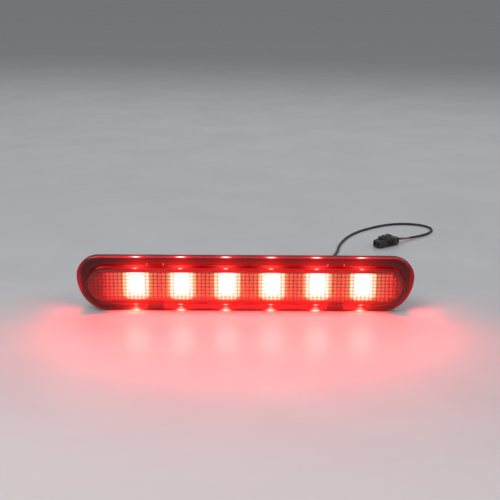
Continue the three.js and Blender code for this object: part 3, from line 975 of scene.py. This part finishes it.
def add_ribs(bm):
    """Two long ribs on the back of the box, and short ones between them."""
    foot, top = BOX_BACK - 0.5, BOX_BACK + 1
    for z in (MID_Z - RIB_UP, MID_Z + RIB_UP):
        add_block(bm, (-RIB_END, foot, z - RIB_HALF), (RIB_END, top, z + RIB_HALF), 0.25)
    for x in SHORT_RIBS:
        add_block(bm, (x - RIB_HALF, foot, MID_Z - RIB_UP), (x + RIB_HALF, top, MID_Z + RIB_UP), 0.25)


def add_collar(bm, x, inner, outer, rise):
    """A low ring with softened edges on the back of the box."""
    soften = 0.3
    foot, top = BOX_BACK - 0.5, BOX_BACK + rise
    points = [
        (inner, foot), (outer, foot), (outer, top - soften),
        (outer - soften, top), (inner + soften, top), (inner, top - soften),
    ]
    add_turned(bm, x, points, 48, closed=True)


def add_lug(bm, x, z, up):
    """A snap lug on the flange's front: a block that widens towards the optic panel, with chamfered
    sides. up is 1 where the panel is above it, and -1 where it is below."""
    front = BORDER_FRONT + LENS_WALL + 0.3
    chamfer = 0.7
    half_tall = LUG_TALL / 2
    rings = []
    for y, drawn_in in ((FLANGE_FRONT + 0.5, 0), (front + chamfer, 0), (front, chamfer)):
        near, far = LUG_NEAR - drawn_in, LUG_FAR - drawn_in
        ring = [(-far, -half_tall), (far, -half_tall), (near, half_tall), (-near, half_tall)]
        rings.append([(x + a, y, z + up * b) for a, b in ring])
    add_rings(bm, rings, [FLANGE] * 4)


def make_housing():
    """Flange and rear box with softened edges, bosses, ribs and snap lugs."""
    bm = bmesh.new()
    add_shell(bm)
    add_boss(bm, -STUD_X)
    add_boss(bm, STUD_X)
    add_ribs(bm)
    add_collar(bm, CABLE_X, 8.2, 9.4, 0.9)
    add_collar(bm, VENT_X, 5.6, 6.8, 0.8)
    for x in (-LUG_X, LUG_X):
        add_lug(bm, x, LUG_Z, 1)
        add_lug(bm, x, LENS_HEIGHT - LUG_Z, -1)
    looks = ["housing_plastic", "flange_front"]
    make_piece("housing_shell", bm, looks, "lamp", ["housing"])


def make_gasket():
    """Foam ring between the flange and the vehicle's panel, with soft edges."""
    soften = 0.5
    inset = 3.5
    overlap = 0.4
    front, back = GASKET_LOW.y, GASKET_HIGH.y
    outer = [
        (inset + soften, front), (inset, front + soften), (inset - 0.15, (front + back) / 2),
        (inset, back - soften), (inset + soften, back),
    ]
    inner = [
        (-overlap - soften, back), (-overlap, back - soften),
        (-overlap, front + soften), (-overlap - soften, front),
    ]
    rings = [at_depth(lens_outline(drawn_in), y) for drawn_in, y in outer]
    rings += [at_depth(box_outline(drawn_in), y) for drawn_in, y in inner]
    bm = bmesh.new()
    add_rings(bm, rings, closed=True)
    make_piece("gasket_ring", bm, ["gasket_foam"], "lamp", ["mounting_gasket"])


def make_breather():
    bm = bmesh.new()
    front, back = VENT_LOW.y, VENT_HIGH.y
    add_turned(bm, VENT_X, [(4.9, front), (5, front + 0.1), (5, back - 0.1), (4.9, back)], 48)
    make_piece("breather_disc", bm, ["breather"], "lamp", ["vent_patch"])


make_housing()
make_gasket()
make_breather()

# -------- studs, washers and nuts

THREAD_PITCH = 0.8
THREAD_ROOT = 2.05
THREAD_CREST = 2.42
THREAD_POINT = 0.75  # how much the stud's last millimetre narrows
HEAD_RADIUS = 5.9
HEAD_TALL = 2.4
WASHER_HOLE = 2.9
WASHER_RADIUS = 8
NUT_FLANGE = 5.9
NUT_FLAT = 4.0
NUT_CORNER = 4.75
NUT_BORE = 2.5
NUT_MOUTH = 2.9  # where the bore opens out at either end


def thread_ring(x, y, segments):
    """A ring round the stud, whose radius follows a helix of the thread's pitch."""
    limit = THREAD_CREST - THREAD_POINT * max(0, 1 - (STUD_HIGH.y - y))

    def radius_at(share):
        phase = (y / THREAD_PITCH + share) % 1
        height = 1 - abs(2 * phase - 1)
        return min(THREAD_ROOT + (THREAD_CREST - THREAD_ROOT) * height, limit)

    return ring_about(x, y, segments, radius_at)


def make_stud(side, x):
    """Threaded stud with a round head inside the housing."""
    start, tip = STUD_LOW.y, STUD_HIGH.y
    segments = 24
    head = [
        (HEAD_RADIUS - 0.3, start), (HEAD_RADIUS, start + 0.3),
        (HEAD_RADIUS, start + HEAD_TALL), (THREAD_ROOT, start + HEAD_TALL),
    ]
    rings = [round_ring(x, y, radius, segments) for radius, y in head]
    y = BOX_BACK - 1.5
    while y < tip:
        rings.append(thread_ring(x, y, segments))
        y += THREAD_PITCH / 6
    rings.append(round_ring(x, tip, THREAD_CREST - THREAD_POINT, segments))
    bm = bmesh.new()
    add_rings(bm, rings)
    nodes = [f"stud_{side}"]
    make_piece(f"stud_thread_{side}", bm, ["zinc_steel"], "lamp", nodes, sharp=60)


def make_washer(side, x):
    front, back = WASHER_LOW.y, WASHER_HIGH.y
    hole, rim = WASHER_HOLE, WASHER_RADIUS
    soften = 0.2
    points = [
        (hole, front + soften), (hole + soften, front), (rim - soften, front), (rim, front + soften),
        (rim, back - soften), (rim - soften, back), (hole + soften, back), (hole, back - soften),
    ]
    bm = bmesh.new()
    add_turned(bm, x, points, 64, closed=True)
    body = f"washer_{side}"
    make_piece(f"washer_disc_{side}", bm, ["zinc_steel"], body, [body])


def hexagon(x, y, limit, segments):
    """A hexagon about an axis along Y, with its corners cut off at the limit."""

    def radius_at(share):
        from_flat = ((share * 6 + 0.5) % 1 - 0.5) * math.pi / 3
        return min(NUT_FLAT / math.cos(from_flat), limit)

    return ring_about(x, y, segments, radius_at)


def make_nut(side, x):
    """Hexagon flange nut: hexagon with chamfered corners, coned flange and a bore."""
    front, back = NUT_LOW.y, NUT_HIGH.y
    segments = 72
    flange = [
        (NUT_MOUTH, front), (NUT_FLANGE - 0.15, front), (NUT_FLANGE, front + 0.15),
        (NUT_FLANGE, front + 0.7), (NUT_FLANGE - 0.12, front + 0.85),
    ]
    sides = [(NUT_CORNER, front + 1.7), (NUT_CORNER, back - 0.5), (4.4, back - 0.25), (3.95, back)]
    bore = [(NUT_MOUTH, back), (NUT_BORE, back - 0.4), (NUT_BORE, front + 0.4)]
    rings = [round_ring(x, y, radius, segments) for radius, y in flange]
    rings += [hexagon(x, y, limit, segments) for limit, y in sides]
    rings += [round_ring(x, y, radius, segments) for radius, y in bore]
    bm = bmesh.new()
    add_rings(bm, rings, closed=True)
    body = f"nut_{side}"
    make_piece(f"nut_hexagon_{side}", bm, ["zinc_steel"], body, [body], sharp=25)


for side, x in (("left", -STUD_X), ("right", STUD_X)):
    make_stud(side, x)
    make_washer(side, x)
    make_nut(side, x)

# -------- grommet

RELIEF_RIBS = 6


def make_grommet():
    """Rubber grommet: flange, neck in the hole, and a ribbed strain relief tapering to the cable."""
    inside, tip = GROMMET_LOW.y, GROMMET_HIGH.y
    outside = BOX_BACK + 0.3
    neck = 5.0
    points = [
        (6.2, inside), (6.5, inside + 0.4), (6.5, inside + 0.9), (neck, inside + 1.0),
        (neck, outside), (7.1, outside), (7.4, outside + 0.3), (7.4, outside + 0.9),
        (7.1, outside + 1.2), (5.3, outside + 1.9),
    ]
    start = outside + 2.4
    pitch = (tip - 1.2 - start) / RELIEF_RIBS
    for rib in range(RELIEF_RIBS):
        radius = 4.9 - 2.1 * rib / RELIEF_RIBS
        groove = radius - 0.75
        y = start + rib * pitch
        points += [(radius, y), (radius, y + 0.5 * pitch)]
        points += [(groove, y + 0.62 * pitch), (groove, y + 0.9 * pitch)]
    points += [(2.5, tip - 1.0), (2.6, tip - 0.4), (2.3, tip), (1.6, tip), (1.55, tip - 4.3)]
    bm = bmesh.new()
    add_turned(bm, CABLE_X, points, 48)
    make_piece("grommet_relief", bm, ["black_rubber"], "lamp", ["cable_grommet"])


make_grommet()

# -------- connector

CONNECTOR_LENGTH = 30
CONNECTOR_WIDTH = 13
CONNECTOR_HEIGHT = 9
PIN_HOLE = 1.6
LATCH_PIVOT = 23


def section(x, size, radius, drawn_in):
    """A rounded rectangle across the connector's own X axis, in the row frame."""
    width, height = (length - 2 * drawn_in for length in size)
    outline = rounded_outline(width, height, radius - drawn_in / 2, PIN_Z)
    return [CONNECTOR @ Vector((x, y, z)) for y, z in outline]


def add_sleeve(bm, start, end, size, radius):
    """A bar along the connector's X axis with softened ends."""
    soften = 0.4
    ends = [(start, soften), (start + soften, 0), (end - soften, 0), (end, soften)]
    add_rings(bm, [section(x, size, radius, drawn_in) for x, drawn_in in ends])


def pin_cutter():
    """Round bars where the two terminals go in, from end to end."""
    bm = bmesh.new()
    for y in (-PIN_PITCH / 2, PIN_PITCH / 2):
        rings = []
        for x in (0, CONNECTOR_LENGTH + 2):
            ring = []
            for step in range(24):
                angle = 2 * math.pi * step / 24
                across, up = PIN_HOLE * math.cos(angle), PIN_HOLE * math.sin(angle)
                ring.append(CONNECTOR @ Vector((x, y + across, PIN_Z + up)))
            rings.append(ring)
        add_rings(bm, rings)
    return mesh_object("pin_cutter", bm)


def cut(piece, cutter):
    """Cuts the cutter out of the piece, and removes the cutter."""
    modifier = piece.modifiers.new("cut", "BOOLEAN")
    modifier.operation = "DIFFERENCE"
    modifier.solver = "EXACT"
    modifier.use_self = True
    modifier.object = cutter
    depsgraph = bpy.context.evaluated_depsgraph_get()
    mesh = bpy.data.meshes.new_from_object(piece.evaluated_get(depsgraph))
    piece.modifiers.clear()
    piece.data = mesh
    bpy.data.objects.remove(cutter)


def make_connector():
    """Body with a stepped nose, wire-end collar, finger ribs, latch rails and terminal holes."""
    width, height = CONNECTOR_WIDTH, CONNECTOR_HEIGHT
    bm = bmesh.new()
    add_sleeve(bm, 4, 26, (width - 2, height - 0.6), 1.2)
    add_sleeve(bm, 25, CONNECTOR_LENGTH, (width - 2.8, height - 1.4), 1.1)
    add_sleeve(bm, 2.6, 9, (width, height), 1.6)
    for side in (-1, 1):
        low, high = sorted((side * (width / 2 - 1.6), side * width / 2))
        for x in (11.2, 13.2, 15.2, 17.2):
            add_block(bm, (x - 0.45, low, PIN_Z - 2.8), (x + 0.45, high, PIN_Z + 2.8), 0.2, CONNECTOR)
        low, high = sorted((side * 4.1, side * 4.9))
        add_block(bm, (10, low, height - 1.4), (22, high, height + 1.0), 0.25, CONNECTOR)
    nodes = ["connector_housing"]
    body = make_piece("connector_body", bm, ["connector_nylon"], "lamp", nodes)
    cut(body, pin_cutter())
    body.data.set_sharp_from_angle(angle=math.radians(35))
    return body


def make_latch():
    """Spring arm over the body: root in front, catch tooth, and a ridged thumb pad."""
    pivot, low = LATCH_PIVOT, CONNECTOR_HEIGHT
    bm = bmesh.new()
    add_block(bm, (pivot - 1.8, -3, low), (pivot + 1.8, 3, low + 2.6), 0.35, CONNECTOR)
    add_block(bm, (pivot - 12.5, -2.5, low + 1.6), (pivot + 0.5, 2.5, low + 2.6), 0.25, CONNECTOR)
    add_block(bm, (pivot - 13, -3.5, low + 1.6), (pivot - 10, 3.5, low + 3.0), 0.3, CONNECTOR)
    add_block(bm, (pivot - 5, -2, low + 2.2), (pivot - 3, 2, low + 3.6), 0.3, CONNECTOR)
    for ridge in range(3):
        x = pivot - 12.4 + ridge * 0.9
        add_block(bm, (x - 0.2, -3, low + 2.9), (x + 0.2, 3, low + 3.2), 0.08, CONNECTOR)
    nodes = ["connector_latch"]
    return make_piece("latch_arm", bm, ["connector_nylon"], "latch", nodes)


def make_wire_seal():
    """Ribbed rubber plug at the wire end."""
    size = (CONNECTOR_WIDTH - 2, CONNECTOR_HEIGHT - 2)
    first_rib = [(0, 0.5), (0.2, 0.2), (0.5, 0), (0.8, 0)]
    groove = [(1, 0.4), (1.3, 0.4)]
    last_rib = [(1.5, 0), (1.9, 0), (2.3, 0.3)]
    bm = bmesh.new()
    add_rings(bm, [section(x, size, 1.5, drawn_in) for x, drawn_in in first_rib + groove + last_rib])
    return make_piece("wire_plug", bm, ["black_rubber"], "lamp", ["wire_seal"])


connector = make_connector()
latch = make_latch()
wire_plug = make_wire_seal()

# -------- CAD nodes shown as they are

paint("silicone_bead", "lens_seal")
paint("metallised", "reflector_tray")
paint("board_mask", "circuit_board")
paint("led_lit", *(f"led_{number + 1}" for number in range(LED_COUNT)))
paint("zinc_steel", *(f"board_screw_{number + 1}" for number in range(4)))
paint("chip_package", "resistor_1", "resistor_2", "diode")
paint("core_red", "inner_lead_positive")
paint("core_black", "inner_lead_negative")
paint("terminal_brass", "terminal_1", "terminal_2")

# -------- floor and light

FLOOR_HALF = 12
RED_LIGHT = (1, 0.005, 0.005)
WARM_LIGHT = (1, 0.4, 0.22)
FOOT_HEIGHT = 0.005  # of the small lights under the lens, in metres


def make_floor():
    sides = ((-1, -1), (1, -1), (1, 1), (-1, 1))
    corners = [(x * FLOOR_HALF, y * FLOOR_HALF, 0) for x, y in sides]
    mesh = bpy.data.meshes.new("floor")
    mesh.from_pydata(corners, [], [range(4)])
    shader = new_look("pale_floor", {"Specular IOR Level": 0.35})
    cloud = noise(shader, 0.01, 3)
    mottle(shader, cloud, (0.68, 0.68, 0.69), (0.72, 0.72, 0.725))
    vary_roughness(shader, cloud, 0.2, 0.24)
    mesh.materials.append(LOOKS["pale_floor"])
    add_object("floor", mesh)


def make_light(name, place, target, size, power, colour=(1, 1, 1)):
    """A rectangular light at a place, turned to its target."""
    data = bpy.data.lights.new(name, "AREA")
    data.shape = "RECTANGLE"
    data.size, data.size_y = size
    data.energy = power
    data.color = colour
    light = add_object(name, data)
    light.location = Vector(place)
    light.rotation_euler = (Vector(target) - Vector(place)).to_track_quat("-Z", "Y").to_euler()
    return light


def make_studio():
    world = bpy.data.worlds.new("studio")
    world.use_nodes = True
    background = world.node_tree.nodes["Background"]
    feed((0.9, 0.93, 1, 1), background.inputs["Color"])
    feed(0.22, background.inputs["Strength"])
    scene.world = world
    middle = (0, 0, 0.02)
    make_light("key", (-0.7, -0.6, 1.3), middle, (0.9, 0.9), 8)
    make_light("fill", (1.1, -0.4, 0.9), middle, (0.9, 0.6), 3)
    make_light("back", (0.2, 1.2, 1), middle, (2.4, 0.5), 7.5)


def make_glow(name, place, target, size, power, colour=RED_LIGHT):
    """A small light of the lamp's own, which lights the floor but isn't seen."""
    light = make_light(name, place, target, size, power, colour)
    light.visible_camera = False
    light.visible_glossy = False


def make_own_light():
    """The red light that the lamp throws on the floor, and the warm spots at its foot."""
    ahead = (PANEL_FRONT - 3) * MM
    under = (PANEL_FRONT + 3) * MM
    up = PANEL_Z * MM
    middle = LED_MIDDLE * MM
    make_glow("foot_glow", (middle, under, FOOT_HEIGHT), (middle, under, 0), (0.25, 0.005), 0.012)
    for number in range(LED_COUNT):
        x = (FIRST_LED_X + number * LED_PITCH) * MM
        make_glow(f"led_glow_{number + 1}", (x, ahead, up), (x, -1, up), (0.022, 0.022), 0.35)
        foot = (x, under, FOOT_HEIGHT)
        make_glow(f"foot_spot_{number + 1}", foot, (x, under, 0), (0.01, 0.004), 0.003, WARM_LIGHT)
    for side in (-1, 1):
        x = side * (PANEL_LENGTH / 2 + 3) * MM
        make_glow(f"end_glow_{side}", (x, under, up), (2 * x, under, 0.01), (0.005, 0.02), 0.02)


make_floor()
make_studio()
make_own_light()
scene.view_settings.view_transform = "Standard"
